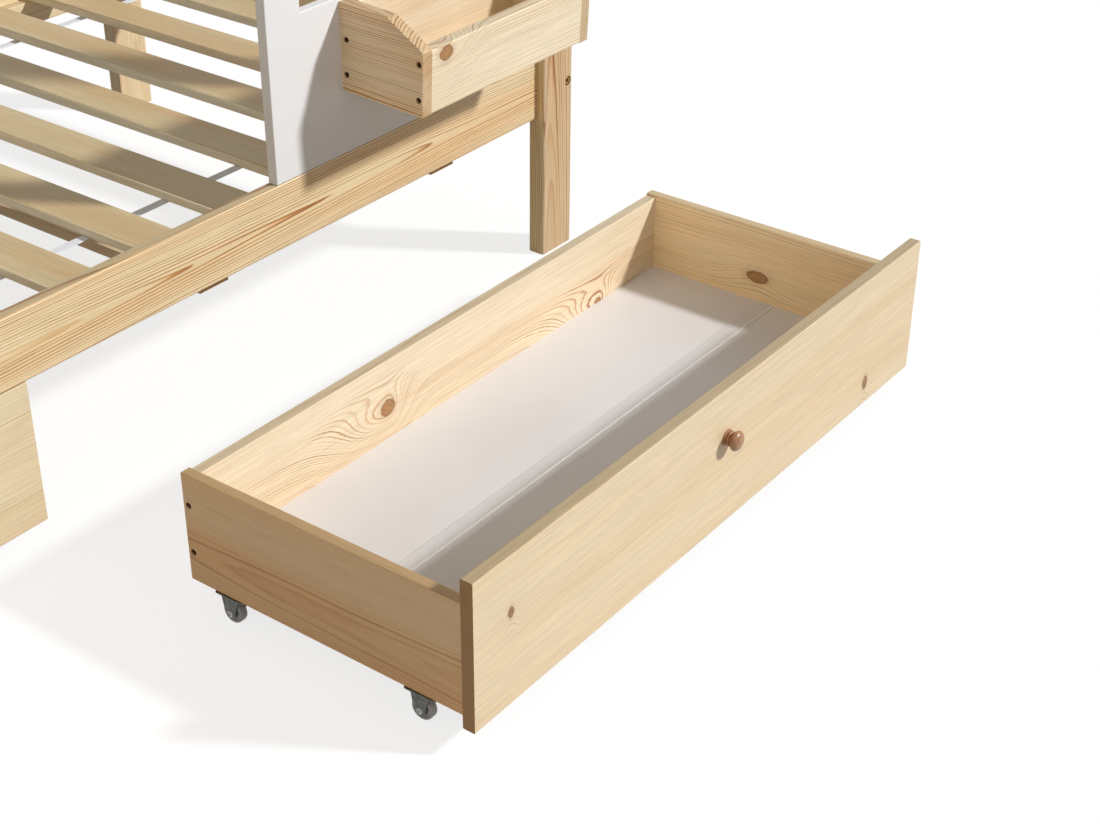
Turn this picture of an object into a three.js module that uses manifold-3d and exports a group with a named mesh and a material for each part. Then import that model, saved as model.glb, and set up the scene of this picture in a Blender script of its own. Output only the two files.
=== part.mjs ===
// Bunk bed with two drawers on castors. Millimetres, +Z up, the front faces -Y, +X is to the right.
// It is shown with the right drawer rolled right out and the left drawer closed.
import * as THREE from 'three';
import { mergeVertices } from 'three/addons/utils/BufferGeometryUtils.js';
import Module from 'manifold-3d';

const wasm = await Module();
wasm.setup();

// Mattress space, which sets the length and depth of the bed
const mattressLength = 2000;
const mattressWidth = 900;
const mattressEndPlay = 13;
const mattressSidePlay = 3;

// Posts and rails
const postWidth = 70;
const postDepth = 28;
const postHeight = 1550;
const railHeight = 90;
const railThickness = 18;
const railSetback = 13;
const endRailThickness = 22;
const ledgeHeight = 40;
const ledgeDepth = 18;
const upperRailDrop = 450;
const railEase = 3;

// Cross ties, screwed up into the ledges; they also stop the drawers
const tieWidth = 50;
const tieThickness = 15;
const innerTieOffset = 311;
const outerTieInset = 202;

// Roll-out slat bases
const slatCount = 15;
const slatEndMargin = 22.5;
const slatWidth = 65;
const slatThickness = 14;
const slatEase = 2;
const slatEndPlay = 2;
const ribbonWidth = 22;
const ribbonThickness = 1.2;
const ribbonInset = 114;
const ribbonBite = 0.4;

// Painted panel with its window
const panelWidth = 548;
const panelThickness = 15;
const windowSideMargin = 61;
const windowSill = 211;
const windowHead = 152.5;

// Flower box on the panel
const boxLength = 355;
const boxDepth = 132.5;
const boxBackHeight = 118;
const boxFrontHeight = 87;
const boxShoulder = 74;
const boxBoard = 18;
const boxBottomThickness = 12;
const boxRightMargin = 62;
const boxLift = 88;
const boxEase = 2.5;
const boxUpperScrew = 69.7;
const boxLowerScrew = 22.5;
const boxScrewInset = 6.4;
const boxBottomPlay = 0.2;
const boxTilt = 2.8 * Math.PI / 180;

// Guards of the upper bunk and the ladder
const guardBoardHeight = 90;
const guardBoardThickness = 18;
const guardGap = 70;
const guardStileWidth = 60;
const guardStileThickness = 24;
const endStileThickness = 20;
const guardStileRise = 8;
const frontGuardStiles = 3;
const backGuardStiles = 4;
const endGuardStiles = 3;
const guardEase = 2;
const tenon = 10;
const ladderPostGap = 10;
const ladderClearWidth = 340;
const ladderStileWidth = 60;
const ladderStileDepth = 28;
const ladderFootGap = 6;
const ladderGuardGap = 1;
const rungCount = 4;
const rungHeight = 28;
const rungDepth = 44;
const rungEase = 9;
const firstRung = 190;
const lastRungRise = 13.5;

// Drawer boards
const drawerMiddleGap = 4;
const drawerSideGap = 21;
const drawerTopGap = 1.2;
const drawerDepth = 416;
const frontHeight = 190;
const frontThickness = 16;
const frontDrop = 7.2;
const frontEase = 1.5;
const endBoardInset = 9;
const endBoardThickness = 14;
const endBoardHeight = 143.4;
const backThickness = 15;
const backDrop = 3;
const boardEase = 1;
const battenHeight = 27.4;
const battenWidth = 20;
const bottomThickness = 4;
const stripWidth = 22;
const stripLip = 1.2;
const notchPlay = 0.3;
const drawerTravel = 646;
const drawerStopGap = 0.3;
const drawerUpperScrew = 102.4;
const drawerLowerScrew = 39.4;

// Drawer knob
const knobHeight = 122.5;
const knobLength = 19.5;
const knobHeadRadius = 12.6;
const knobFlangeRadius = 10.5;
const knobFlangeThickness = 2.6;
const knobNeckRadius = 7.5;
const knobRingRadius = 12;
const knobRingFoot = 3.6;
const knobRingThickness = 4.4;
const knobHeadFoot = 10;
const knobHeadMiddle = 13.6;

// Fixed castors
const wheelRadius = 14;
const wheelWidth = 12;
const treadRound = 3.5;
const treadInset = 0.6;
const webInset = 2;
const webFillet = 1.2;
const hubRadius = 5.5;
const axleRadius = 2.4;
const axleClearance = 0.35;
const plateAboveAxle = 24.2;
const plateLength = 40;
const plateWidth = 18;
const plateThickness = 2;
const cheekThickness = 1.8;
const cheekGap = 1.2;
const cheekFoot = 24;
const cheekTipRadius = 6.5;
const rivetHead = 1.2;
const castorFrontOffset = 82.5;
const castorBackInset = 57;

// Recesses for screws and bolts, and the sides of what is round
const screwRecessRadius = 4.2;
const screwRecessDepth = 4;
const boltRecessRadius = 7.6;
const boltRecessDepth = 5;
const recessSides = 12;
const knobSides = 20;
const wheelSides = 16;

// Sizes worked out from those above
const halfLength = mattressLength / 2 + mattressEndPlay + endRailThickness;
const halfDepth = mattressWidth / 2 + mattressSidePlay + railThickness + railSetback;
const railHalf = halfLength - postWidth;
const railFace = -halfDepth + railSetback;
const castorHeight = wheelRadius + plateAboveAxle;
const frontUnderside = castorHeight - frontDrop;
const railUnderside = frontUnderside + frontHeight + drawerTopGap;
const railTop = railUnderside + railHeight;
const upperRailUnderside = postHeight - upperRailDrop;
const upperRailTop = upperRailUnderside + railHeight;
const innerWidth = 2 * (halfDepth - railSetback - railThickness);
const endRailLength = 2 * (halfDepth - postDepth);
const frontLength = railHalf - drawerMiddleGap / 2 - drawerSideGap;
const drawerInnerDepth = drawerDepth - frontThickness - backThickness;
const drawerInnerLength = frontLength - 2 * endBoardInset - 2 * endBoardThickness;
const ladderWidth = ladderClearWidth + 2 * ladderStileWidth;
const drawerClosedFace = railFace + railThickness - frontThickness - drawerStopGap;
const knobTip = drawerClosedFace - drawerTravel - knobLength;
const restDepthCentre = (halfDepth + knobTip) / 2;
const endPlaces = [['right', halfLength - endRailThickness], ['left', -halfLength]];

// Finishes
function finish(color, roughness, metalness = 0) {
  return new THREE.MeshStandardMaterial({ color, roughness, metalness });
}

const pine = finish(0xe4cda8, 0.55);
const slatPine = finish(0xcdb58c, 0.65);
const whitePaint = finish(0xebe9e6, 0.45);
const whiteBoard = finish(0xdcd8d4, 0.4);
const knobWood = finish(0xa56f52, 0.35);
const steel = finish(0x8b8d90, 0.35, 0.9);
const wheelPlastic = finish(0x77797c, 0.5);

// A rectangle with its corners rounded, its low corner at the origin
function roundedRectangle(width, height, radius) {
  const shape = new THREE.Shape();
  shape.moveTo(radius, 0);
  shape.lineTo(width - radius, 0);
  shape.absarc(width - radius, radius, radius, -Math.PI / 2, 0);
  shape.lineTo(width, height - radius);
  shape.absarc(width - radius, height - radius, radius, 0, Math.PI / 2);
  shape.lineTo(radius, height);
  shape.absarc(radius, height - radius, radius, Math.PI / 2, Math.PI);
  shape.lineTo(0, radius);
  shape.absarc(radius, radius, radius, Math.PI, 1.5 * Math.PI);
  return shape;
}

// Extrudes a shape along one axis; the shape's x and y become the next two axes in turn
function extrudeAlong(axis, shape, length, curveSegments = 1) {
  const units = [new THREE.Vector3(1, 0, 0), new THREE.Vector3(0, 1, 0), new THREE.Vector3(0, 0, 1)];
  const along = 'xyz'.indexOf(axis);
  const [across, up] = [units[(along + 1) % 3], units[(along + 2) % 3]];
  const turn = new THREE.Matrix4().makeBasis(across, up, units[along]);
  const geometry = new THREE.ExtrudeGeometry(shape, { depth: length, bevelEnabled: false, curveSegments });
  return geometry.applyMatrix4(turn);
}

// A board that runs along one axis with its four long edges eased, its low corner at the origin
function board(axis, size, ease, curveSegments = 1) {
  const along = 'xyz'.indexOf(axis);
  const section = roundedRectangle(size[(along + 1) % 3], size[(along + 2) % 3], ease);
  return extrudeAlong(axis, section, size[along], curveSegments);
}

// A round bar along X or Y, centred on a point
function bar(axis, radius, length, centre) {
  const geometry = new THREE.CylinderGeometry(radius, radius, length, recessSides);
  if (axis === 'x') geometry.rotateZ(Math.PI / 2);
  return geometry.translate(...centre);
}

function toSolid(geometry) {
  const bare = geometry.clone();
  bare.deleteAttribute('normal');
  bare.deleteAttribute('uv');
  const merged = mergeVertices(bare, 1e-4);
  const mesh = new wasm.Mesh({
    numProp: 3,
    vertProperties: new Float32Array(merged.attributes.position.array),
    triVerts: new Uint32Array(merged.index.array),
  });
  mesh.merge();
  return new wasm.Manifold(mesh);
}

function toGeometry(solid) {
  const mesh = solid.getMesh();
  const geometry = new THREE.BufferGeometry();
  geometry.setAttribute('position', new THREE.BufferAttribute(new Float32Array(mesh.vertProperties), 3));
  geometry.setIndex(new THREE.BufferAttribute(new Uint32Array(mesh.triVerts), 1));
  geometry.computeVertexNormals();
  return geometry;
}

function join(geometries) {
  return toGeometry(geometries.map(toSolid).reduce((sum, next) => sum.add(next)));
}

function cut(geometry, tools) {
  return toGeometry(tools.map(toSolid).reduce((rest, next) => rest.subtract(next), toSolid(geometry)));
}

function addPart(parent, name, geometry, material, position = [0, 0, 0]) {
  const mesh = new THREE.Mesh(geometry, material);
  mesh.name = name;
  mesh.position.set(...position);
  parent.add(mesh);
  return mesh;
}

// Posts: full height, with recesses for the end rails' bolts in the wide face
// and for the side rails' bolts in the outer edge
function post(sideX, sideY) {
  const body = board('z', [postWidth, postDepth, postHeight], railEase);
  const outerX = sideX > 0 ? postWidth : 0;
  const outerY = sideY > 0 ? postDepth : 0;
  const endRailX = outerX - sideX * endRailThickness / 2;
  const sideRailY = outerY - sideY * (railSetback + railThickness / 2);
  const recesses = [railUnderside, upperRailUnderside].flatMap((underside) => {
    const height = underside + railHeight / 2;
    return [
      bar('y', boltRecessRadius, 2 * boltRecessDepth, [endRailX, outerY, height]),
      bar('x', screwRecessRadius, 2 * boltRecessDepth, [outerX, sideRailY, height]),
    ];
  });
  return cut(body, recesses);
}

function addPosts(bed) {
  for (const [endName, sideX] of [['right', 1], ['left', -1]]) {
    for (const [sideName, sideY] of [['front', -1], ['back', 1]]) {
      const x = sideX > 0 ? halfLength - postWidth : -halfLength;
      const y = sideY > 0 ? halfDepth - postDepth : -halfDepth;
      addPart(bed, `${sideName}_${endName}_post`, post(sideX, sideY), pine, [x, y, 0]);
    }
  }
}

// Side rails: butted between the posts, each with the ledge that the slats lie on glued to its inner face
function sideRail(sideY) {
  const rail = board('x', [2 * railHalf, railThickness, railHeight], railEase);
  const ledgeOverlap = 1;
  const ledge = board('x', [2 * railHalf, ledgeDepth + ledgeOverlap, ledgeHeight], boardEase);
  ledge.translate(0, sideY < 0 ? railThickness - ledgeOverlap : -ledgeDepth, 0);
  return join([rail, ledge]);
}

function addRails(bed) {
  const backY = -railFace - railThickness;
  for (const [prefix, underside] of [['', railUnderside], ['upper_', upperRailUnderside]]) {
    addPart(bed, `${prefix}front_rail`, sideRail(-1), pine, [-railHalf, railFace, underside]);
    addPart(bed, `${prefix}back_rail`, sideRail(1), pine, [-railHalf, backY, underside]);
  }
  for (const [endName, x] of endPlaces) {
    const rail = board('y', [endRailThickness, endRailLength, railHeight], railEase);
    addPart(bed, `${endName}_end_rail`, rail, pine, [x, -endRailLength / 2, railUnderside]);
  }
}

// Cross ties lie under the ledges and join the two lower side rails
function addTies(bed) {
  const outerTieOffset = railHalf - outerTieInset;
  const centres = [-outerTieOffset, -innerTieOffset, innerTieOffset, outerTieOffset];
  centres.forEach((centre, index) => {
    const tie = board('y', [tieWidth, innerWidth, tieThickness], boardEase);
    const place = [centre - tieWidth / 2, -innerWidth / 2, railUnderside - tieThickness];
    addPart(bed, `cross_tie_${index + 1}`, tie, pine, place);
  });
}

// Roll-out slat base: loose slats stapled to ribbons that run under them
function slatBase() {
  const slatLength = innerWidth - 2 * slatEndPlay;
  const span = mattressLength - 2 * slatEndMargin;
  const pitch = (span - slatWidth) / (slatCount - 1);
  const pieces = [];
  for (let index = 0; index < slatCount; index += 1) {
    const slat = board('y', [slatWidth, slatLength, slatThickness], slatEase);
    pieces.push(slat.translate(index * pitch - span / 2, -slatLength / 2, 0));
  }
  for (const side of [-1, 1]) {
    const ribbon = new THREE.BoxGeometry(span - 2 * slatEase, ribbonWidth, ribbonThickness);
    const centreY = side * (innerWidth / 2 - ribbonInset);
    pieces.push(ribbon.translate(0, centreY, ribbonBite - ribbonThickness / 2));
  }
  return join(pieces);
}

function addSlatBases(bed) {
  addPart(bed, 'slat_base', slatBase(), slatPine, [0, 0, railUnderside + ledgeHeight]);
  addPart(bed, 'upper_slat_base', slatBase(), slatPine, [0, 0, upperRailUnderside + ledgeHeight]);
}

// Painted panel: it stands on the lower rail, between the right post and the way into the lower bunk
function addPanel(bed) {
  const panelHeight = upperRailUnderside - railTop;
  const outline = new THREE.Shape();
  outline.moveTo(0, 0);
  outline.lineTo(0, panelWidth);
  outline.lineTo(panelHeight, panelWidth);
  outline.lineTo(panelHeight, 0);
  const windowTop = panelHeight - windowHead;
  const windowEnd = panelWidth - windowSideMargin;
  const opening = new THREE.Path();
  opening.moveTo(windowSill, windowSideMargin);
  opening.lineTo(windowTop, windowSideMargin);
  opening.lineTo(windowTop, windowEnd);
  opening.lineTo(windowSill, windowEnd);
  outline.holes.push(opening);
  const panel = extrudeAlong('y', outline, panelThickness);
  addPart(bed, 'window_panel', panel, whitePaint, [railHalf - panelWidth, railFace, railTop]);
}

// Flower box: two shaped ends with the front, back and bottom boards screwed between them. It is cut
// to lean a little forward, so the ends widen upwards behind, where they meet the upright panel.
function boxEnd(outerSide) {
  const outline = new THREE.Shape();
  outline.moveTo(0, 0);
  outline.lineTo(-boxDepth, 0);
  outline.lineTo(-boxDepth, boxFrontHeight - boxEase);
  outline.quadraticCurveTo(-boxDepth, boxFrontHeight, -boxDepth + boxEase, boxFrontHeight + boxEase / 2);
  outline.lineTo(-boxShoulder - boxEase, boxBackHeight - boxEase / 2);
  outline.quadraticCurveTo(-boxShoulder, boxBackHeight, -boxShoulder + boxEase, boxBackHeight);
  outline.lineTo(boxBackHeight * Math.tan(boxTilt), boxBackHeight);
  const outerX = outerSide > 0 ? boxBoard : 0;
  const recesses = [-boxScrewInset, -boxDepth + boxScrewInset].flatMap((y) => (
    [boxUpperScrew, boxLowerScrew].map((z) => (
      bar('x', screwRecessRadius, 2 * screwRecessDepth, [outerX, y, z])
    ))
  ));
  return cut(extrudeAlong('x', outline, boxBoard, 3), recesses).rotateX(boxTilt);
}

function addFlowerBox(bed) {
  const right = railHalf - boxRightMargin;
  const left = right - boxLength;
  const floor = railTop + boxLift;
  const between = boxLength - 2 * boxBoard;
  const place = [left + boxBoard, railFace, floor];
  const innerDepth = boxDepth - 2 * boxBoard - boxBottomPlay;
  addPart(bed, 'flower_box_left_end', boxEnd(-1), pine, [left, railFace, floor]);
  addPart(bed, 'flower_box_right_end', boxEnd(1), pine, [right - boxBoard, railFace, floor]);
  const front = board('x', [between, boxBoard, boxFrontHeight], boxEase).translate(0, -boxDepth, 0);
  addPart(bed, 'flower_box_front', front.rotateX(boxTilt), pine, place);
  const back = board('x', [between, boxBoard, boxBackHeight], boxEase).translate(0, -boxBoard, 0);
  addPart(bed, 'flower_box_back', back, pine, place);
  const bottom = board('x', [between, innerDepth, boxBottomThickness], boardEase);
  bottom.translate(0, boxBoard - boxDepth, 0);
  addPart(bed, 'flower_box_bottom', bottom.rotateX(boxTilt), pine, place);
}

// A guard panel along an axis: boards tenoned into thicker uprights, its low corner at the origin
function guardPanel(axis, length, stileThickness, stileCount, stileFoot) {
  const sized = (along, across, up) => (axis === 'x' ? [along, across, up] : [across, along, up]);
  const placed = (piece, along, across, up) => piece.translate(...sized(along, across, up));
  const spacing = (length - guardStileWidth) / (stileCount - 1);
  const boardInset = (stileThickness - guardBoardThickness) / 2;
  const boardFeet = [guardGap, 2 * guardGap + guardBoardHeight];
  const stileTop = boardFeet[1] + guardBoardHeight + guardStileRise;
  const pieces = [];
  for (let index = 0; index < stileCount; index += 1) {
    const stile = board('z', sized(guardStileWidth, stileThickness, stileTop - stileFoot), guardEase);
    pieces.push(placed(stile, index * spacing, 0, stileFoot));
  }
  for (let bay = 0; bay + 1 < stileCount; bay += 1) {
    for (const foot of boardFeet) {
      const plankLength = spacing - guardStileWidth + 2 * tenon;
      const plank = board(axis, sized(plankLength, guardBoardThickness, guardBoardHeight), guardEase);
      pieces.push(placed(plank, bay * spacing + guardStileWidth - tenon, boardInset, foot));
    }
  }
  return pieces;
}

function addGuards(bed) {
  const sideInset = (railThickness - guardStileThickness) / 2;
  const frontLeft = -railHalf + ladderPostGap + ladderWidth + ladderGuardGap;
  const front = guardPanel('x', railHalf - frontLeft, guardStileThickness, frontGuardStiles, 0);
  addPart(bed, 'front_guard', join(front), pine, [frontLeft, railFace + sideInset, upperRailTop]);
  const back = guardPanel('x', 2 * railHalf, guardStileThickness, backGuardStiles, 0);
  const backY = -railFace - railThickness + sideInset;
  addPart(bed, 'back_guard', join(back), pine, [-railHalf, backY, upperRailTop]);
  const endInset = (endRailThickness - endStileThickness) / 2;
  for (const [endName, x] of endPlaces) {
    const guard = guardPanel('y', endRailLength, endStileThickness, endGuardStiles, -tenon);
    const rail = board('y', [endRailThickness, endRailLength, railHeight], railEase);
    const frame = join([rail.translate(-endInset, 0, -railHeight), ...guard]);
    const place = [x + endInset, -endRailLength / 2, upperRailTop];
    addPart(bed, `upper_${endName}_end_frame`, frame, pine, place);
  }
}

// Ladder: bolted to the faces of both front rails, clear above the drawers
function addLadder(bed) {
  const foot = railUnderside + ladderFootGap;
  const pieces = [0, ladderStileWidth + ladderClearWidth].map((x) => (
    board('z', [ladderStileWidth, ladderStileDepth, postHeight - foot], railEase).translate(x, 0, 0)
  ));
  const lowestRung = railTop + firstRung - foot;
  const highestRung = upperRailTop + lastRungRise - rungHeight - foot;
  for (let index = 0; index < rungCount; index += 1) {
    const rung = board('x', [ladderClearWidth + 2 * tenon, rungDepth, rungHeight], rungEase, 2);
    const height = lowestRung + index * (highestRung - lowestRung) / (rungCount - 1);
    pieces.push(rung.translate(ladderStileWidth - tenon, ladderStileDepth - rungDepth, height));
  }
  const place = [-railHalf + ladderPostGap, railFace - ladderStileDepth, foot];
  addPart(bed, 'ladder', join(pieces), pine, place);
}

// Turned knob, its axis along -Y from the face of the drawer
function knob() {
  const ringMiddle = knobRingFoot + knobRingThickness / 2;
  const outline = new THREE.Shape();
  outline.moveTo(0, 0);
  outline.lineTo(knobFlangeRadius, 0);
  outline.lineTo(knobFlangeRadius, knobFlangeThickness);
  outline.quadraticCurveTo(knobNeckRadius, knobFlangeThickness, knobNeckRadius, knobRingFoot);
  outline.quadraticCurveTo(knobRingRadius, ringMiddle, knobNeckRadius, knobRingFoot + knobRingThickness);
  outline.quadraticCurveTo(knobHeadRadius, knobHeadFoot, knobHeadRadius, knobHeadMiddle);
  outline.quadraticCurveTo(knobHeadRadius, knobLength, 0, knobLength);
  const geometry = new THREE.LatheGeometry(outline.getPoints(3), knobSides);
  return toGeometry(toSolid(geometry.rotateX(Math.PI)));
}

// Castor bracket: pressed plate, two tapered cheeks and the riveted axle, centred on the axle
function castorBracket() {
  const forkWidth = wheelWidth + 2 * cheekGap;
  const cheekTop = plateAboveAxle - plateThickness / 2;
  const tangent = Math.acos(cheekTipRadius / Math.hypot(cheekFoot / 2, cheekTop));
  const tipEnd = tangent - Math.atan2(cheekTop, cheekFoot / 2);
  const plate = new THREE.BoxGeometry(plateWidth, plateLength, plateThickness);
  plate.translate(0, 0, plateAboveAxle - plateThickness / 2);
  const pieces = [plate];
  for (const side of [-1, 1]) {
    const outline = new THREE.Shape();
    outline.moveTo(-cheekFoot / 2, cheekTop);
    outline.absarc(0, 0, cheekTipRadius, Math.PI + tipEnd, 2 * Math.PI - tipEnd);
    outline.lineTo(cheekFoot / 2, cheekTop);
    const cheek = extrudeAlong('x', outline, cheekThickness, 3);
    const inner = side * forkWidth / 2;
    pieces.push(cheek.translate(side > 0 ? inner : inner - cheekThickness, 0, 0));
  }
  const axleLength = forkWidth + 2 * cheekThickness + 2 * rivetHead;
  pieces.push(bar('x', axleRadius, axleLength, [0, 0, 0]));
  return join(pieces);
}

// Wheel: a rounded tread round a thinner web and a hub bored for the axle
function wheel() {
  const half = wheelWidth / 2;
  const tread = half - treadInset;
  const web = half - webInset;
  const bore = axleRadius + axleClearance;
  const rimRadius = wheelRadius - treadRound;
  const outline = new THREE.Shape();
  outline.moveTo(bore, -half);
  outline.lineTo(hubRadius, -half);
  outline.lineTo(hubRadius + webFillet, -web);
  outline.lineTo(rimRadius - webFillet, -web);
  outline.lineTo(rimRadius, -tread);
  outline.quadraticCurveTo(wheelRadius, -tread, wheelRadius, -tread + treadRound);
  outline.lineTo(wheelRadius, tread - treadRound);
  outline.quadraticCurveTo(wheelRadius, tread, rimRadius, tread);
  outline.lineTo(rimRadius - webFillet, web);
  outline.lineTo(hubRadius + webFillet, web);
  outline.lineTo(hubRadius, half);
  outline.lineTo(bore, half);
  outline.closePath();
  const geometry = new THREE.LatheGeometry(outline.getPoints(2), wheelSides);
  return toGeometry(toSolid(geometry.rotateZ(-Math.PI / 2)));
}

// One drawer, its front face at y = 0 and its floor contact at z = 0
function drawerEnd(outerSide) {
  const body = board('y', [endBoardThickness, drawerDepth - frontThickness, endBoardHeight], boardEase);
  const outerX = outerSide > 0 ? endBoardThickness : 0;
  const y = drawerDepth - frontThickness - backThickness / 2;
  const recesses = [drawerUpperScrew, drawerLowerScrew].map((z) => (
    bar('x', screwRecessRadius, 2 * screwRecessDepth, [outerX, y, z])
  ));
  return cut(body, recesses);
}

// The bottom is two thin panels held edge to edge by a strip that grips both
function drawerBottom() {
  const middle = drawerInnerDepth / 2;
  const stripFront = middle - stripWidth / 2;
  const stripBack = middle + stripWidth / 2;
  const outline = new THREE.Shape();
  outline.moveTo(0, 0);
  outline.lineTo(stripFront, 0);
  outline.lineTo(stripFront, -stripLip);
  outline.lineTo(stripBack, -stripLip);
  outline.lineTo(stripBack, 0);
  outline.lineTo(drawerInnerDepth, 0);
  outline.lineTo(drawerInnerDepth, bottomThickness);
  outline.lineTo(stripBack, bottomThickness);
  outline.lineTo(stripBack, bottomThickness + stripLip);
  outline.lineTo(stripFront, bottomThickness + stripLip);
  outline.lineTo(stripFront, bottomThickness);
  outline.lineTo(0, bottomThickness);
  return extrudeAlong('x', outline, drawerInnerLength);
}

// A batten along each end carries the bottom and the castors, and is notched for the strip's lower lip
function batten() {
  const body = board('y', [battenWidth, drawerInnerDepth, battenHeight], boardEase);
  const notchDepth = stripLip + notchPlay;
  const notchLength = 4 * battenWidth;
  const notch = new THREE.BoxGeometry(notchLength, stripWidth + 2 * notchPlay, 2 * notchDepth);
  return cut(body, [notch.translate(0, drawerInnerDepth / 2, battenHeight)]);
}

function addDrawer(bed, side, left, frontFace) {
  const drawer = new THREE.Group();
  drawer.position.set(left, frontFace, 0);
  bed.add(drawer);
  const name = (piece) => `${side}_drawer_${piece}`;
  const innerLeft = endBoardInset + endBoardThickness;
  const innerRight = frontLength - innerLeft;
  const innerFront = frontThickness;
  const bottomUnderside = castorHeight + battenHeight;
  const rightBattenLeft = innerRight - battenWidth;
  const front = board('x', [frontLength, frontThickness, frontHeight], frontEase);
  addPart(drawer, name('front'), front, pine, [0, 0, frontUnderside]);
  addPart(drawer, name('left_end'), drawerEnd(-1), pine, [endBoardInset, innerFront, castorHeight]);
  addPart(drawer, name('right_end'), drawerEnd(1), pine, [innerRight, innerFront, castorHeight]);
  const back = board('x', [drawerInnerLength, backThickness, endBoardHeight - backDrop], boardEase);
  addPart(drawer, name('back'), back, pine, [innerLeft, drawerDepth - backThickness, castorHeight]);
  addPart(drawer, name('bottom'), drawerBottom(), whiteBoard, [innerLeft, innerFront, bottomUnderside]);
  addPart(drawer, name('left_batten'), batten(), pine, [innerLeft, innerFront, castorHeight]);
  addPart(drawer, name('right_batten'), batten(), pine, [rightBattenLeft, innerFront, castorHeight]);
  addPart(drawer, name('knob'), knob(), knobWood, [frontLength / 2, 0, frontUnderside + knobHeight]);
  const castorInset = endBoardInset + plateWidth / 2;
  const columns = [['left', castorInset], ['right', frontLength - castorInset]];
  const rows = [['front', castorFrontOffset], ['back', drawerDepth - castorBackInset]];
  for (const [rowName, y] of rows) {
    for (const [columnName, x] of columns) {
      const place = [x, y, wheelRadius];
      addPart(drawer, name(`${rowName}_${columnName}_castor`), castorBracket(), steel, place);
      addPart(drawer, name(`${rowName}_${columnName}_wheel`), wheel(), wheelPlastic, place);
    }
  }
}

// The whole bed; its origin is under the middle of the space it takes up as shown
const bunkBed = new THREE.Group();
bunkBed.position.set(0, -restDepthCentre, 0);
addPosts(bunkBed);
addRails(bunkBed);
addTies(bunkBed);
addSlatBases(bunkBed);
addPanel(bunkBed);
addFlowerBox(bunkBed);
addGuards(bunkBed);
addLadder(bunkBed);
addDrawer(bunkBed, 'right', drawerMiddleGap / 2, drawerClosedFace - drawerTravel);
addDrawer(bunkBed, 'left', -drawerMiddleGap / 2 - frontLength, drawerClosedFace);

const model = new THREE.Group();
model.add(bunkBed);
export default model;
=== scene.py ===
# %% [markdown]
# # A pine bunk bed with drawers on castors
# The bed is bolted together from planed pine boards. A white painted panel with a window and a
# flower box stands on the lower rail, and two drawers roll under the bed on fixed castors.
# The CAD model already gives every board its size and place, so this lesson adds what a camera
# sees: growth rings and knots, rounded arrises, screws, turned knobs, pressed steel and moulded
# wheels. It starts by loading the imported bed, with a helper that reads the box of each part.

# %% Load the imported bed
import math
import random

import bmesh
import bpy
from mathutils import Matrix, Vector


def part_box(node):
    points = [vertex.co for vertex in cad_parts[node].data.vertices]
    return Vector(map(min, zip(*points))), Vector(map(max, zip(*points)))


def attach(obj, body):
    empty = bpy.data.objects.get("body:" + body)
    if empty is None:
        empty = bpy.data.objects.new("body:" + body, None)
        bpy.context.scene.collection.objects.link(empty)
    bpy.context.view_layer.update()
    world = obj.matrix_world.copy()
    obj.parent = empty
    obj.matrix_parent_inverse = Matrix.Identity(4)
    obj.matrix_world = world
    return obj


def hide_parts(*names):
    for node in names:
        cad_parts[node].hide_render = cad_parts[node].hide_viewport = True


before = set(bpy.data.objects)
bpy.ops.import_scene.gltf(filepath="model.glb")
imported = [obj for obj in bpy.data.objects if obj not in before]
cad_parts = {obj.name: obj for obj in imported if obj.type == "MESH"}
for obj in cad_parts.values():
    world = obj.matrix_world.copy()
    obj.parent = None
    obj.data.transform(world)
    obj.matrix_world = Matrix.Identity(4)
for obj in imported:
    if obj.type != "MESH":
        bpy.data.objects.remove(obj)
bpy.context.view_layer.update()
scene = bpy.context.scene
scene.view_settings.view_transform = "Standard"
sides = ("right", "left")
ends = (("right", 1), ("left", -1))

# %% [markdown]
# ## Camera
# A product photographer stands to the left of the open drawer and looks down on it with a lens
# a little longer than normal, so that the boards keep their shape. The place was found by fitting
# corners of the drawer and of the bed, which is better than turning a camera by eye.

# %% Camera
def toward(azimuth, elevation):
    """A direction, from degrees round from the front and degrees of height."""
    turn, lift = math.radians(azimuth), math.radians(elevation)
    level = math.cos(lift)
    return Vector((math.sin(turn) * level, -math.cos(turn) * level, math.sin(lift)))

def placed(name, data):
    """A new object in the scene."""
    thing = bpy.data.objects.new(name, data)
    scene.collection.objects.link(thing)
    return thing

def turned_to(direction):
    """The turn that takes Z to a direction."""
    return Vector(direction).to_track_quat("Z", "Y").to_matrix().to_4x4()

eye = (-1.15088, -1.72932, 1.32393)
azimuth, elevation, roll = -53.6756, 31.3933, 0.4295
camera = placed("camera", bpy.data.cameras.new("camera"))
camera.data.sensor_width = 36
camera.data.lens = 62.232
camera.data.clip_end = 60
tip = Matrix.Rotation(math.radians(roll), 4, "Z")
camera.matrix_world = Matrix.Translation(eye) @ turned_to(toward(azimuth, elevation)) @ tip
scene.camera = camera
print("camera at", tuple(camera.location), "lens", camera.data.lens)

# %% [markdown]
# ## Nodes with less typing
# A procedural finish is a small machine of nodes. Each node is added by one call that takes
# the settings of the node and what goes into its sockets: a number, a colour or another output.

# %% Node helpers
def add(tree, kind, sockets=None, out=0, **settings):
    node = tree.nodes.new("ShaderNode" + kind)
    for setting, value in settings.items():
        setattr(node, setting, value)
    for socket, value in (sockets or {}).items():
        feed(tree, value, node.inputs[socket])
    return node.outputs[out]

def feed(tree, value, socket):
    if isinstance(value, bpy.types.NodeSocket):
        tree.links.new(value, socket)
    else:
        socket.default_value = value

def maths(tree, operation, *values):
    return add(tree, "Math", dict(enumerate(values)), operation=operation)

def times(tree, first, second):
    return maths(tree, "MULTIPLY", first, second)

def plus(tree, first, second):
    return maths(tree, "ADD", first, second)

def larger(tree, first, second):
    return maths(tree, "MAXIMUM", first, second)

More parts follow.
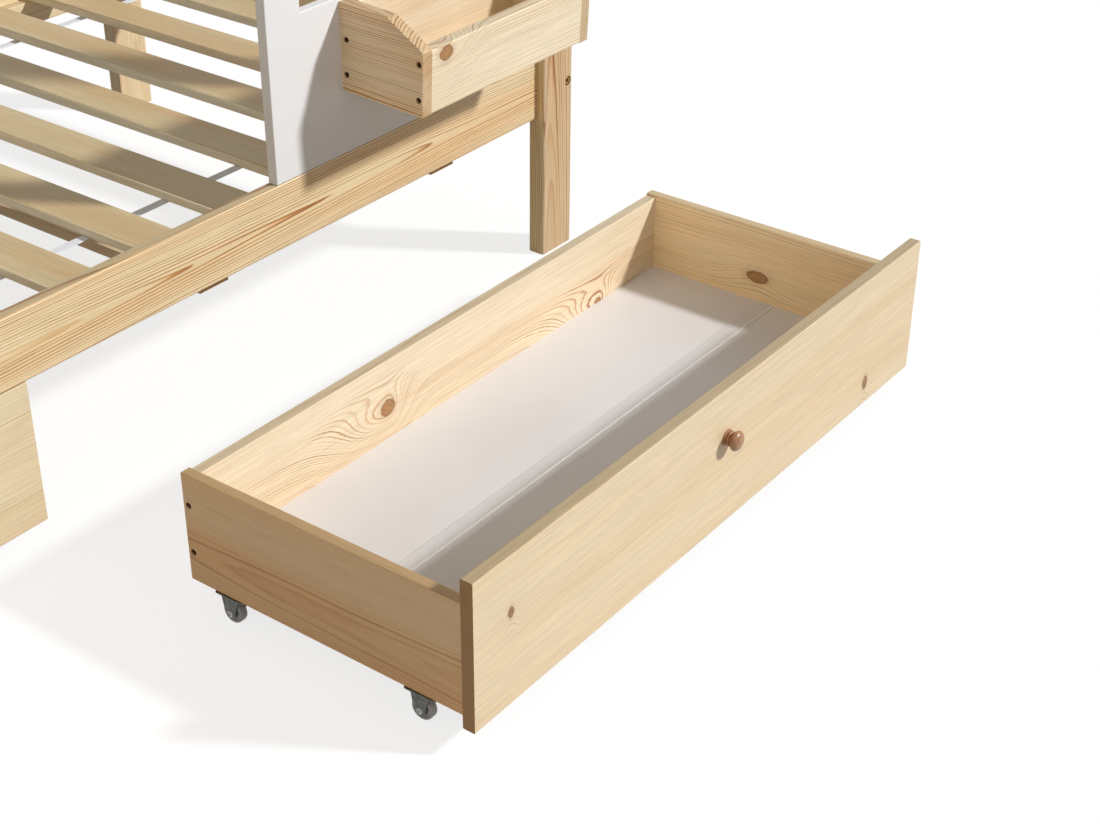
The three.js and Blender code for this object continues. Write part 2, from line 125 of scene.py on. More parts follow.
def scaled(tree, vector, factors):
    return add(tree, "VectorMath", {0: vector, 1: factors}, operation="MULTIPLY")

def noise(tree, place, stretch, detail, out="Fac"):
    sockets = {"Vector": scaled(tree, place, stretch), "Scale": 1, "Detail": detail}
    return add(tree, "TexNoise", sockets, out)

def fade(tree, value, start, end, low=0.0, high=1.0):
    """Runs smoothly from low to high while a value goes from start to end."""
    sockets = {0: value, 1: start, 2: end, 3: low, 4: high}
    return add(tree, "MapRange", sockets, interpolation_type="SMOOTHSTEP")

def mix(tree, factor, first, second, blend="MIX"):
    return add(tree, "Mix", {0: factor, 6: first, 7: second}, 2, data_type="RGBA", blend_type=blend)

def rgb(red, green, blue):
    """A colour as a picture shows it, 0 to 255, turned into the linear light that nodes use."""
    def linear(value):
        share = value / 255
        return share / 12.92 if share <= 0.04045 else ((share + 0.055) / 1.055) ** 2.4
    return (linear(red), linear(green), linear(blue), 1.0)

def new_group(name, inputs, outputs):
    tree = bpy.data.node_groups.new(name, "ShaderNodeTree")
    for label, value in inputs.items():
        kind = {3: "Vector", 4: "Color"}[len(value)] if isinstance(value, tuple) else "Float"
        socket = tree.interface.new_socket(label, in_out="INPUT", socket_type="NodeSocket" + kind)
        socket.default_value = value
    for label, kind in outputs:
        tree.interface.new_socket(label, in_out="OUTPUT", socket_type="NodeSocket" + kind)
    given = tree.nodes.new("NodeGroupInput").outputs
    result = tree.nodes.new("NodeGroupOutput").inputs
    print("node group", name)
    return tree, given, result

def use_group(tree, name, **sockets):
    node = tree.nodes.new("ShaderNodeGroup")
    node.node_tree = bpy.data.node_groups[name]
    for label, value in sockets.items():
        feed(tree, value, node.inputs[label.replace("_", " ")])
    return node.outputs

def new_material(name):
    material = bpy.data.materials.new(name)
    material.use_nodes = True
    return material, material.node_tree, material.node_tree.nodes["Principled BSDF"]

def dress(tree, surface, color, roughness, height=None, strength=0.3, depth=0.0002):
    """Gives a surface its colour, its roughness and the relief that a Bump node makes."""
    feed(tree, color, surface.inputs["Base Color"])
    feed(tree, roughness, surface.inputs["Roughness"])
    if height is not None:
        bump = add(tree, "Bump", {"Height": height, "Strength": strength, "Distance": depth})
        feed(tree, bump, surface.inputs["Normal"])

def lacquer(surface, weight, roughness):
    surface.inputs["Coat Weight"].default_value = weight
    surface.inputs["Coat Roughness"].default_value = roughness

# %% [markdown]
# ## Studio
# The picture has sunlight from the front right, at the height of a tall window, and pure white
# all round. One sun lamp gives the light and its sharp shadows. A weaker and much softer one on
# the left stands for a reflector that lifts the boards in shade, and the world fills the rest.
# Only what the camera and reflections see is white; light that bounces meets a calmer floor, or
# the shaded boards would be washed out.

# %% Sun, world and floor
def add_sun(name, energy, angle, color, source):
    lamp = placed(name, bpy.data.lights.new(name, "SUN"))
    lamp.data.energy = energy
    lamp.data.angle = math.radians(angle)
    lamp.data.color = color
    lamp.matrix_world = turned_to(source)
    print(name, "shines from", source)

add_sun("window_light", energy=3.15, angle=4.5, color=(1, 1, 1), source=(0.75, -1.19, 0.97))
add_sun("reflector", energy=0.5, angle=70, color=(1.0, 0.89, 0.76), source=(-0.85, -0.25, 0.45))

def seen_by_eye(tree):
    """1 where a ray comes from the camera, a reflection or glass, else 0."""
    path = tree.nodes.new("ShaderNodeLightPath").outputs
    mirrored = larger(tree, path["Is Glossy Ray"], path["Is Transmission Ray"])
    return larger(tree, path["Is Camera Ray"], mirrored)

def saved(name, bm):
    """A mesh made from a finished bmesh, which is then let go."""
    mesh = bpy.data.meshes.new(name)
    bm.to_mesh(mesh)
    bm.free()
    return mesh

scene.world = bpy.data.worlds.new("studio")
scene.world.use_nodes = True
air = scene.world.node_tree
fill = mix(air, seen_by_eye(air), (0.25, 0.25, 0.25, 1), (1, 1, 1, 1))
feed(air, fill, air.nodes["Background"].inputs["Color"])

floor_finish, ground, _ = new_material("studio_floor")
ground.nodes.clear()
paper = add(ground, "BsdfDiffuse", {"Color": (0.93, 0.93, 0.93, 1)})
glow = add(ground, "Emission", {"Color": (1, 1, 1, 1), "Strength": 1.1})
shown = add(ground, "MixShader", {0: 0.7, 1: paper, 2: glow})
bounce = add(ground, "BsdfDiffuse", {"Color": (0.42, 0.41, 0.40, 1)})
both = add(ground, "MixShader", {0: seen_by_eye(ground), 1: bounce, 2: shown})
feed(ground, both, ground.nodes.new("ShaderNodeOutputMaterial").inputs["Surface"])

bm = bmesh.new()
bmesh.ops.create_grid(bm, x_segments=2, y_segments=2, size=9)
floor = placed("floor", saved("floor", bm))
floor.data.materials.append(floor_finish)
print("floor", floor.dimensions[:2])

# %% [markdown]
# ## Pine, ring by ring
# A pine trunk is a nest of cones, one for each year, pale early wood that ends in a thin line of
# dark late wood. A board is a cut through that nest. So the grain is made as the tree makes it:
# the distance from the pith counts the years, a slow noise bends the trunk, and the taper draws
# the long pointed flames on a flat-sawn face. The same rings then meet at every corner of a
# board, which a picture wrapped round it would not do. Coordinates here are metres of timber:
# X runs along the grain, Y across the wide face, Z through the board, and the pith is at 0, 0.

# %% Group: pine_grain
pine, given, result = new_group("pine_grain", {
    "Place": (0, 0, 0), "Ring Width": 0.003, "Line Start": 0.55, "Contrast": 0.6,
    "Quiet Above": 9.0, "Warmth": 0.3, "Tint": (1, 1, 1, 1), "Taper": 0.014, "Bend": 0.0,
    "Knot": 0.0, "Knot Mark": 0.0, "Stray Knots": 0.0,
    "End Grain": 0.0, "Edge": 0.0, "Edge Tint": (0.64, 0.62, 0.57, 1),
}, [("Color", "Color"), ("Roughness", "Float"), ("Height", "Float")])
place = given["Place"]
wander = noise(pine, place, (1.7, 9, 9), 2, "Color")
wander = add(pine, "VectorMath", {0: wander, 1: (0.5, 0.5, 0.5)}, operation="SUBTRACT")
wander = scaled(pine, wander, (0, 0.017, 0.017))
trunk = add(pine, "VectorMath", {0: place, 1: wander}, operation="ADD")
radius = add(pine, "VectorMath", {0: scaled(pine, trunk, (0, 1, 1))}, "Value", operation="LENGTH")
along = add(pine, "SeparateXYZ", {0: place})

# Stray knots: a sparse scatter of cells on the wide face, and one cell in five holds a knot
scatter = {"Vector": scaled(pine, place, (6.5, 12, 0)), "Scale": 1}
cell = add(pine, "TexVoronoi", scatter, "Color", voronoi_dimensions="2D")
pick = add(pine, "SeparateColor", {0: cell}, "Red")
size = add(pine, "SeparateColor", {0: cell}, "Green")
size = maths(pine, "MULTIPLY_ADD", size, 0.05, 0.035)
held = times(pine, maths(pine, "GREATER_THAN", pick, 0.80), given["Stray Knots"])
reach = maths(pine, "DIVIDE", cell.node.outputs["Distance"], size)
swell = maths(pine, "EXPONENT", times(pine, maths(pine, "POWER", reach, 2), -0.22))
stray_bend = times(pine, times(pine, swell, held), 0.010)
stray_knot = times(pine, fade(pine, reach, 1.05, 0.85), held)

# Years: the distance from the pith, shaken so that no two years are alike
bend = plus(pine, given["Bend"], stray_bend)
reach_out = maths(pine, "MULTIPLY_ADD", along, given["Taper"], radius)
reach_out = plus(pine, reach_out, bend)
shake = add(pine, "TexNoise", {"W": times(pine, reach_out, 70), "Scale": 1, "Detail": 1},
            noise_dimensions="1D")
reach_out = plus(pine, reach_out, times(pine, shake, 0.004))
years = maths(pine, "DIVIDE", reach_out, given["Ring Width"])
ripple = noise(pine, place, (10, 260, 260), 1)
years = plus(pine, years, times(pine, ripple, 0.30))
season = maths(pine, "FRACT", years)
late = times(pine, fade(pine, season, given["Line Start"], 0.92), fade(pine, season, 1.0, 0.94))
vigour = add(pine, "TexWhiteNoise", {"W": maths(pine, "FLOOR", years)}, noise_dimensions="1D")
late = times(pine, late, fade(pine, vigour, 0.0, 1.0, 0.35, 1.0))

# Lines fade where the plane cut between two years, and draw closer and darker round a knot
patch = fade(pine, noise(pine, place, (2.5, 26, 26), 2), 0.36, 0.60, 0.45, 1.0)
swirl = fade(pine, bend, 0.001, 0.008)
patch = larger(pine, patch, swirl)
across = add(pine, "SeparateXYZ", {0: place}, 1)
calm_end = plus(pine, given["Quiet Above"], 0.03)
calm = fade(pine, across, given["Quiet Above"], calm_end, 1.0, 0.22)
strength = times(pine, times(pine, patch, calm), given["Contrast"])
round_knots = times(pine, swirl, maths(pine, "MULTIPLY_ADD", given["Contrast"], 0.6, 0.25))
strength = larger(pine, strength, round_knots)
line = times(pine, late, strength)

# Colours: sapwood, a warmer heart, olive streaks, late wood, fibres, and the brown of a knot
heart = fade(pine, noise(pine, place, (1.2, 22, 22), 2), 0.38, 0.66)
surplus = larger(pine, maths(pine, "SUBTRACT", given["Warmth"], 1.0), 0.0)
heart = times(pine, plus(pine, heart, surplus), given["Warmth"])
heart = times(pine, heart, calm)
sap = mix(pine, heart, rgb(236, 220, 186), rgb(231, 194, 146))
olive = fade(pine, noise(pine, place, (0.8, 34, 34), 2), 0.52, 0.70, 0.0, 0.4)
sap = mix(pine, olive, sap, rgb(219, 199, 153))
wood = mix(pine, line, sap, mix(pine, late, rgb(224, 170, 106), rgb(158, 105, 54)))
fibre = noise(pine, place, (14, 420, 420), 3)
streak = fade(pine, fibre, 0.28, 0.72, 0.90, 1.04)
streak = add(pine, "CombineColor", {0: streak, 1: streak, 2: streak})
wood = mix(pine, 1.0, wood, streak, "MULTIPLY")
wood = mix(pine, 1.0, wood, given["Tint"], "MULTIPLY")
knot = larger(pine, given["Knot"], stray_knot)
mark = larger(pine, given["Knot Mark"], times(pine, stray_knot, season))
wood = mix(pine, knot, wood, mix(pine, mark, rgb(184, 135, 81), rgb(104, 72, 40)))
# Narrow faces are multiplied by the Edge Tint, which darkens them by default; where it is above 1,
# on the post and the slats, it is painted light on narrow sides that stand in shade.
edge_wood = mix(pine, 1.0, wood, given["Edge Tint"], "MULTIPLY")
wood = mix(pine, given["Edge"], wood, edge_wood)
end_wood = mix(pine, 1.0, wood, (0.42, 0.29, 0.17, 1), "MULTIPLY")
wood = mix(pine, given["End Grain"], wood, end_wood)
feed(pine, wood, result["Color"])
dull = maths(pine, "MULTIPLY_ADD", fibre, 0.16, 0.42)
feed(pine, maths(pine, "MULTIPLY_ADD", given["End Grain"], 0.25, dull), result["Roughness"])
feed(pine, maths(pine, "MULTIPLY_ADD", line, -0.5, fibre), result["Height"])

# %% [markdown]
# ## Knots where the real boards have them
# A knot is the foot of a branch. It is a brown lens with a dark rim, and the rings swell round it
# because the trunk grew round the branch, with a longer tail down the trunk. The middle of the
# swelling may lie above or below the knot, so it has a drop of its own. The group gives three
# things: how far the rings are pushed, where the branch itself shows, and its dark marks. Its
# place is given on the wide face of the board.

# %% Group: pine_knot
branch, given, result = new_group("pine_knot", {
    "Place": (0, 0, 0), "Centre": (0, 0, 0), "Size": 0.006, "Squeeze": (0.7, 1, 0), "Spread": 2.5,
    "Tail": 1.0, "Push": 0.01, "Drop": 0.0,
}, [("Bend", "Float"), ("Knot", "Float"), ("Mark", "Float")])
offset = add(branch, "VectorMath", {0: given["Place"], 1: given["Centre"]}, operation="SUBTRACT")
offset = scaled(branch, offset, given["Squeeze"])
shrink = maths(branch, "DIVIDE", 1.0, given["Size"])
offset = add(branch, "VectorMath", {0: offset, "Scale": shrink}, operation="SCALE")
lengthwise = add(branch, "SeparateXYZ", {0: offset}, 0)
sideways = add(branch, "SeparateXYZ", {0: offset}, 1)
below = plus(branch, sideways, given["Drop"])
backward = times(branch, times(branch, lengthwise, given["Tail"]), -1.0)
tailed = larger(branch, lengthwise, backward)
reach = plus(branch, maths(branch, "POWER", tailed, 2.0), times(branch, below, below))
spread = times(branch, given["Spread"], given["Spread"])
swell = maths(branch, "EXPONENT", times(branch, maths(branch, "DIVIDE", reach, spread), -1.0))
feed(branch, times(branch, swell, given["Push"]), result["Bend"])

ragged = noise(branch, given["Place"], (160, 160, 160), 1)
cracks = noise(branch, given["Place"], (260, 900, 260), 2)
lens = maths(branch, "POWER", maths(branch, "ABSOLUTE", sideways), 1.5)
lens = plus(branch, lens, times(branch, lengthwise, lengthwise))
lens = plus(branch, lens, times(branch, ragged, 0.5))
halo = fade(branch, lens, 3.4, 1.2, 0.0, 0.22)
feed(branch, larger(branch, halo, fade(branch, lens, 1.45, 1.05)), result["Knot"])
arcs = maths(branch, "SINE", times(branch, lens, 15.0))
arcs = fade(branch, arcs, -0.4, 1.0, 0.0, 0.25)
rim = times(branch, fade(branch, lens, 0.70, 1.2), fade(branch, lens, 1.7, 1.3))
split = fade(branch, cracks, 0.48, 0.62, 0.0, 0.55)
split = times(branch, split, fade(branch, lens, 1.3, 0.9))
marks = plus(branch, arcs, split)
feed(branch, maths(branch, "MULTIPLY_ADD", rim, 0.4, marks), result["Mark"])

# %% [markdown]
# ## A pine finish for each board
# Two kinds of board need the wood. A CAD board has no coordinates of its own, so a Mapping node
# turns the object's coordinates until X runs along its grain. A board that is made in this
# lesson carries its timber coordinates with it as an attribute. Either way each board gets its
# own place in the tree, so that no two look cut from one plank.

# %% Pine materials
def timber_turn(axes):
    """Rows of the turn that takes a board's axes, as "xz" for along and across, to X and Y."""
    units = dict(x=Vector((1, 0, 0)), y=Vector((0, 1, 0)), z=Vector((0, 0, 1)))
    along, across = (units[axis] for axis in axes)
    return Matrix((along, across, along.cross(across)))

def pine_material(name, place_of, masks_of, knots=(), edge_tone=1.0, end_tone=1.0, knot_tone=0.0,
                  **values):
    """Pine with its own knots. The tones say how much of the edge, end and knot shade shows."""
    material, tree, surface = new_material(name)
    place = place_of(tree)
    end, edge = masks_of(tree)
    edge = times(tree, edge, edge_tone)
    end = times(tree, end, end_tone)
    bend, knot, mark = 0.0, 0.0, 0.0
    for centre, size, squeeze, spread, tail, push, drop in knots:
        one = use_group(tree, "pine_knot", Place=place, Centre=centre, Size=size, Squeeze=squeeze,
                        Spread=spread, Tail=tail, Push=push, Drop=drop)
        bend = plus(tree, one["Bend"], bend)
        knot = larger(tree, one["Knot"], knot)
        mark = larger(tree, plus(tree, one["Mark"], knot_tone), mark)
    wood = use_group(tree, "pine_grain", Place=place, End_Grain=end, Edge=edge, Bend=bend,
                     Knot=knot, Knot_Mark=mark, **values)
    dress(tree, surface, wood["Color"], wood["Roughness"], wood["Height"], 0.35, 0.0004)
    lacquer(surface, 0.12, 0.35)
    return material

def board_pine(node, axes, pith, shift=0.0, knots=(), **values):
    """Pine for a CAD board; pith is its place from the board's middle, across and through."""
    low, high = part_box(node)
    turn = timber_turn(axes)
    start = Vector((shift, -pith[0], -pith[1])) - turn @ ((low + high) / 2)
    def place_of(tree):
        coordinates = add(tree, "TexCoord", out="Object")
        sockets = {"Vector": coordinates, "Location": start, "Rotation": turn.to_euler("XYZ")}
        return add(tree, "Mapping", sockets)
    def masks_of(tree):
        normal = add(tree, "TexCoord", out="Normal")
        masks = []
        for axis in (turn[0], turn[1]):
            facing = add(tree, "VectorMath", {0: normal, 1: axis}, "Value", operation="DOT_PRODUCT")
            masks.append(fade(tree, maths(tree, "ABSOLUTE", facing), 0.6, 0.95))
        return masks
    branches = [(turn @ Vector(centre) + start, *rest) for centre, *rest in knots]
    material = pine_material("pine_" + node, place_of, masks_of, branches, **values)
    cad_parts[node].material_slots[0].material = material

def carried_pine(name, **values):
    """Pine for boards made here, which carry their timber coordinates and masks."""
    def place_of(tree):
        return add(tree, "Attribute", out="Vector", attribute_name="timber")
    def masks_of(tree):
        masks = ("end_grain", "edge")
        return [add(tree, "Attribute", out="Fac", attribute_name=mask) for mask in masks]
    return pine_material(name, place_of, masks_of, **values)

# %% [markdown]
# ## The boards that the picture shows
# These boards are matched one by one: the front rail has flames along its middle, the drawer
# front is pale and quiet with two small knots, the boards inside the drawer have strong grain
# and larger knots, and the sides of the flower box have fine close lines. A knot is given as its
# centre, size, squeeze, spread, tail, push and drop.

# %% Boards in view
board_pine("front_rail", "xz", (-0.004, 0.026), 0.3, Ring_Width=0.0034, Line_Start=0.54,
           Contrast=2.0, Warmth=0.7, Tint=(0.99, 0.96, 0.89, 1), Taper=0.0155)
board_pine("right_drawer_front", "xz", (0.14, 0.04), 0.7, knot_tone=0.35, Ring_Width=0.0042,
           Line_Start=0.72, Contrast=0.38, Tint=(0.91, 0.87, 0.84, 1), Taper=0.004, knots=[
               ((0.0631, 0, 0.1503), 0.0056, (1.1, 0.8, 0), 3.6, 0.7, 0.014, 0.6),
               ((0.8211, 0, 0.0639), 0.0068, (1.05, 0.66, 0), 3.4, 1.0, 0.024, -0.5)])
board_pine("right_drawer_back", "xz", (-0.10, 0.03), 2.1, edge_tone=0.7, Ring_Width=0.0034,
           Line_Start=0.5, Contrast=1.1, Quiet_Above=0.105, Warmth=0.4, Tint=(1, 1, 1.06, 1),
           Taper=0.006, knots=[
               ((0.3365, 0, 0.1126), 0.0086, (0.62, 0.72, 0), 3.4, 0.42, 0.060, 1.5),
               ((0.7830, 0, 0.0710), 0.0052, (0.62, 0.8, 0), 6.5, 0.5, 0.056, 2.4)])
# The right end's Tint above 1 lightens the board: painted light, for its inner face stands in shade
# inside the drawer.
board_pine("right_drawer_right_end", "yz", (0.08, -0.03), 0.4, Ring_Width=0.0032,
           Line_Start=0.62, Contrast=0.75, Warmth=0.6, Tint=(1.17, 1.17, 1.14, 1), Taper=0.006,
           knots=[
               ((0, -0.5627, 0.1058), 0.0092, (0.50, 1, 0), 3.4, 1.0, 0.020, -0.8)])
board_pine("right_drawer_left_end", "yz", (-0.03, 0.05), 1.3, edge_tone=0.7, Ring_Width=0.0030,
           Line_Start=0.4, Contrast=0.9, Quiet_Above=0.02, Warmth=1.5, Tint=(0.78, 0.68, 0.56, 1),
           Taper=0.012)
# The post's Edge Tint lightens its narrow sides: painted light on the side that stands in shade.
board_pine("front_right_post", "zx", (-0.016, 0.026), 0.2, Ring_Width=0.0028, Line_Start=0.45,
           Contrast=1.5, Warmth=0.5, Tint=(0.75, 0.66, 0.58, 1), Edge_Tint=(1.31, 1.46, 1.38, 1),
           Taper=0.016)
board_pine("flower_box_left_end", "yz", (-0.085, 0.03), 0.1, edge_tone=0.8, end_tone=0.4,
           Ring_Width=0.0028, Line_Start=0.42, Contrast=2.0, Warmth=0.6, Tint=(1, 0.95, 0.91, 1),
           Taper=-0.02)
board_pine("flower_box_right_end", "yz", (-0.03, -0.07), 0.9, edge_tone=0.6, end_tone=0.5,
           Ring_Width=0.0024, Line_Start=0.5, Contrast=1.0, Warmth=0.5, Taper=-0.02)
board_pine("flower_box_front", "xz", (-0.06, 0.03), 0.5, edge_tone=0.6, Ring_Width=0.0032,
           Contrast=0.9, Warmth=0.25, Tint=(1.04, 1.07, 1.14, 1), Taper=0.012, knots=[
               ((0.5940, 0, 0.4680), 0.0088, (0.62, 0.85, 0), 3.8, 0.45, 0.036, 0.8)])
board_pine("flower_box_back", "xz", (0.09, 0.03), 1.5, edge_tone=0.6, Ring_Width=0.0034,
           Line_Start=0.6, Contrast=0.5, Warmth=0.4, Tint=(1.02, 1.03, 1.12, 1), Taper=0.008)
print("boards in view")

# %% [markdown]
# ## The other CAD boards
# The rest of the bed is the same timber. A loop gives each board its own part of the tree, and
# some of them a stray knot, from a seeded list of random numbers, so that the bed looks the
# same at every run.

# %% Boards out of view
others = [
    ("zx", "front_left_post back_right_post back_left_post"),
    ("xz", "back_rail upper_front_rail upper_back_rail"),
    ("yz", "right_end_rail left_end_rail"),
    ("xy", "flower_box_bottom"),
    ("yx", "cross_tie_1 cross_tie_2 cross_tie_3 cross_tie_4"),
    ("xz", "left_drawer_front left_drawer_back"),
    ("yz", "left_drawer_left_end left_drawer_right_end"),
    ("yz", "right_drawer_left_batten right_drawer_right_batten"),
    ("yz", "left_drawer_left_batten left_drawer_right_batten"),
]
chance = random.Random(11)
for axes, nodes in others:
    for node in nodes.split():
        pith = (chance.uniform(-0.04, 0.04), chance.choice((-1, 1)) * chance.uniform(0.03, 0.07))
        board_pine(node, axes, pith, chance.uniform(0, 9), edge_tone=0.6,
                   Ring_Width=chance.uniform(0.0028, 0.0040), Contrast=chance.uniform(0.55, 0.85),
                   Warmth=chance.uniform(0.2, 0.7), Tint=(0.95, 0.94, 0.92, 1), Stray_Knots=1.0)
    print("pine for", nodes)

# %% [markdown]
# ## Relief for paint, board and plastic
# Nothing is perfectly smooth: paint from a roller is faintly dimpled, faced board has a fine
# tooth, and moulded plastic a satin grain. They differ only in scale, so one group serves all.

# %% Group: fine_relief
relief, given, result = new_group("fine_relief", {
    "Place": (0, 0, 0), "Pitch": 0.002, "Cloud": 0.12,
}, [("Shade", "Float"), ("Height", "Float")])
finer = maths(relief, "DIVIDE", 1.0, given["Pitch"])
cloudy = maths(relief, "DIVIDE", 1.0, given["Cloud"])
dimple = add(relief, "TexNoise", {"Vector": given["Place"], "Scale": finer, "Detail": 2.0})
cloud = add(relief, "TexNoise", {"Vector": given["Place"], "Scale": cloudy, "Detail": 3.0})
shade = maths(relief, "MULTIPLY_ADD", cloud, 0.75, times(relief, dimple, 0.25))
feed(relief, shade, result["Shade"])
feed(relief, dimple, result["Height"])

# %% White paint and faced board
def relief_material(name, light, dark, pitch, cloud, rough, depth):
    """A smooth finish with faint relief; its shade drifts between two near colours."""
    material, tree, surface = new_material(name)
    place = add(tree, "TexCoord", out="Object")
    skin = use_group(tree, "fine_relief", Place=place, Pitch=pitch, Cloud=cloud)
    color = mix(tree, fade(tree, skin["Shade"], 0.35, 0.65), dark, light)
    roughness = fade(tree, skin["Shade"], 0.3, 0.7, *rough)
    dress(tree, surface, color, roughness, skin["Height"], 0.3, depth)
    return material, tree, surface

white_paint, _, surface = relief_material(
    "white_paint", rgb(234, 234, 235), rgb(229, 229, 230), 0.0022, 0.3, (0.42, 0.52), 0.0002)
lacquer(surface, 0.15, 0.3)
white_board, _, _ = relief_material(
    "white_board", rgb(225, 223, 223), rgb(218, 215, 215), 0.0012, 0.25, (0.30, 0.42), 0.00008)
white_strip, _, _ = relief_material(
    "white_strip", rgb(216, 214, 214), rgb(212, 210, 209), 0.002, 0.2, (0.42, 0.50), 0.00002)
# The bead is painted whiter than the strip: a painted highlight.
highlight_bead, _, _ = relief_material(
    "highlight_bead", rgb(252, 252, 252), rgb(246, 246, 246), 0.002, 0.2, (0.25, 0.32), 0.00002)
print("white finishes done")

# %% [markdown]
# The castors are zinc-plated pressed steel, and age has dulled them in clouds. Their colours are
# set darker than clean zinc, as painted shade for the cheeks on the shaded side. The same clouds
# with other colours make the screws, whose dark brown is partly their own yellow zinc and partly
# painted shade of their recesses, and the brass-coloured bolts. The knobs are beech,
# stained red-brown and lacquered, so they have the only clear shine on the bed. The wheels are
# grey plastic, paler where they roll. The ribbons that hold the slats are woven from polyester
# yarn, and two crossed waves draw their weave.

# %% Metals
def metal_material(name, light, dark, rough):
    material, tree, surface = new_material(name)
    place = add(tree, "TexCoord", out="Object")
    skin = use_group(tree, "fine_relief", Place=place, Pitch=0.0009, Cloud=0.006)
    shade = fade(tree, skin["Shade"], 0.32, 0.68)
    color = mix(tree, shade, dark, light)
    roughness = fade(tree, shade, 0.0, 1.0, rough[1], rough[0])
    dress(tree, surface, color, roughness, skin["Height"], 0.15, 0.00005)
    surface.inputs["Metallic"].default_value = 1.0
    return material

# The steel's colours are painted darker than clean zinc: painted shade.
steel = metal_material("zinc_steel", rgb(105, 106, 103), rgb(84, 85, 82), (0.34, 0.46))
rivet_steel = metal_material("rivet_steel", rgb(176, 175, 172), rgb(120, 119, 117), (0.20, 0.34))
# The screws' dark brown is partly yellow zinc and partly painted shade of their recesses.
screw_zinc_and_recess_shade = metal_material("screw_zinc_and_recess_shade", rgb(98, 74, 50), rgb(58, 42, 30), (0.34, 0.50))
bolt_brass = metal_material("bolt_brass", rgb(196, 164, 104), rgb(160, 128, 78), (0.22, 0.35))
print("metals done")

# %% Wheel plastic, ribbon and knob
wheel_plastic, tree, surface = relief_material(
    "wheel_plastic", rgb(166, 165, 164), rgb(152, 151, 150), 0.0007, 0.01, (0.38, 0.5), 0.00006)
worn = add(tree, "Attribute", out="Fac", attribute_name="tread")
skin_color = surface.inputs["Base Color"].links[0].from_socket
feed(tree, mix(tree, worn, skin_color, rgb(178, 176, 174)), surface.inputs["Base Color"])

ribbon_weave, tree, surface = new_material("ribbon_weave")
place = add(tree, "TexCoord", out="Object")
warp = add(tree, "TexWave", {"Vector": place, "Scale": 260.0, "Distortion": 0.6}, "Fac",
           bands_direction="DIAGONAL")
weft = add(tree, "TexWave", {"Vector": place, "Scale": 190.0, "Distortion": 0.4}, "Fac",
           bands_direction="X")
yarn = times(tree, warp, weft)
color = mix(tree, yarn, rgb(226, 230, 238), rgb(243, 245, 249))
dress(tree, surface, color, fade(tree, yarn, 0, 1, 0.9, 0.7), yarn, 0.5, 0.0002)

stained_beech, tree, surface = new_material("stained_beech")
place = add(tree, "TexCoord", out="Object")
flecks = noise(tree, place, (900, 260, 900), 2)
rings = noise(tree, place, (320, 40, 60), 2)
stain = maths(tree, "MULTIPLY_ADD", flecks, 0.4, times(tree, rings, 0.6))
stain = fade(tree, stain, 0.35, 0.65)
color = mix(tree, stain, rgb(138, 92, 54), rgb(172, 122, 76))
dress(tree, surface, color, fade(tree, stain, 0, 1, 0.38, 0.46))
lacquer(surface, 0.35, 0.18)
print("other finishes done")

# %% [markdown]
# ## Making boards
# A planed board is a box whose long edges are eased with a cutter. The box comes from a cube,
# and a bevel with four segments rounds the edges. The flat faces stay flat-shaded and only the
# rounding is smooth, so that no false shading runs over the faces. Every corner is given its
# timber coordinates, and the two end faces are marked as end grain.

# %% Board helpers
def rounded(bm, parts, width, segments, affect="EDGES"):
    """Rounds edges, or corners, and gives back the new faces."""
    return bmesh.ops.bevel(bm, geom=parts, offset=width, segments=segments, profile=0.5,
                           affect=affect, material=-1)["faces"]

def timber_mesh():
    bm = bmesh.new()
    bm.verts.layers.float_vector.new("timber")
    bm.faces.layers.float.new("end_grain")
    bm.faces.layers.float.new("edge")
    return bm

def add_board(bm, low, high, axes, ease, chance, segments=4):
    """A board from corner to corner with eased edges; chance picks its place in the tree."""
    low, high = Vector(low), Vector(high)
    middle = (low + high) / 2
    earlier_verts, earlier_faces = set(bm.verts), set(bm.faces)
    shape = Matrix.Translation(middle) @ Matrix.Diagonal((*(high - low), 1))
    corners = bmesh.ops.create_cube(bm, size=1, matrix=shape)["verts"]
    along, across = ("xyz".index(axis) for axis in axes)
    edges = {edge for corner in corners for edge in corner.link_edges}
    long_edges = [edge for edge in edges
                  if abs(edge.verts[0].co[along] - edge.verts[1].co[along]) > 1e-5]
    for face in rounded(bm, long_edges, ease, segments):
        face.smooth = True
    turn = timber_turn(axes)
    pith = Vector((chance.uniform(0, 20), chance.uniform(-0.03, 0.03),
                   chance.choice((-1, 1)) * chance.uniform(0.02, 0.07)))
    timber = bm.verts.layers.float_vector["timber"]
    end_grain, edge_mask = bm.faces.layers.float["end_grain"], bm.faces.layers.float["edge"]
    bm.normal_update()
    for vert in bm.verts:
        if vert not in earlier_verts:
            vert[timber] = turn @ (vert.co - middle) + pith
    for face in bm.faces:
        if face not in earlier_faces:
            face[end_grain] = float(abs(face.normal[along]) > 0.9)
            face[edge_mask] = float(abs(face.normal[across]) > 0.9)

def finish_piece(name, bm, material, body, replaces=()):
    mesh = saved(name, bm)
    mesh.materials.append(material)
    piece = placed(name, mesh)
    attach(piece, body)
    if replaces:
        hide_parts(*replaces)
    print(name, len(mesh.polygons), "faces")
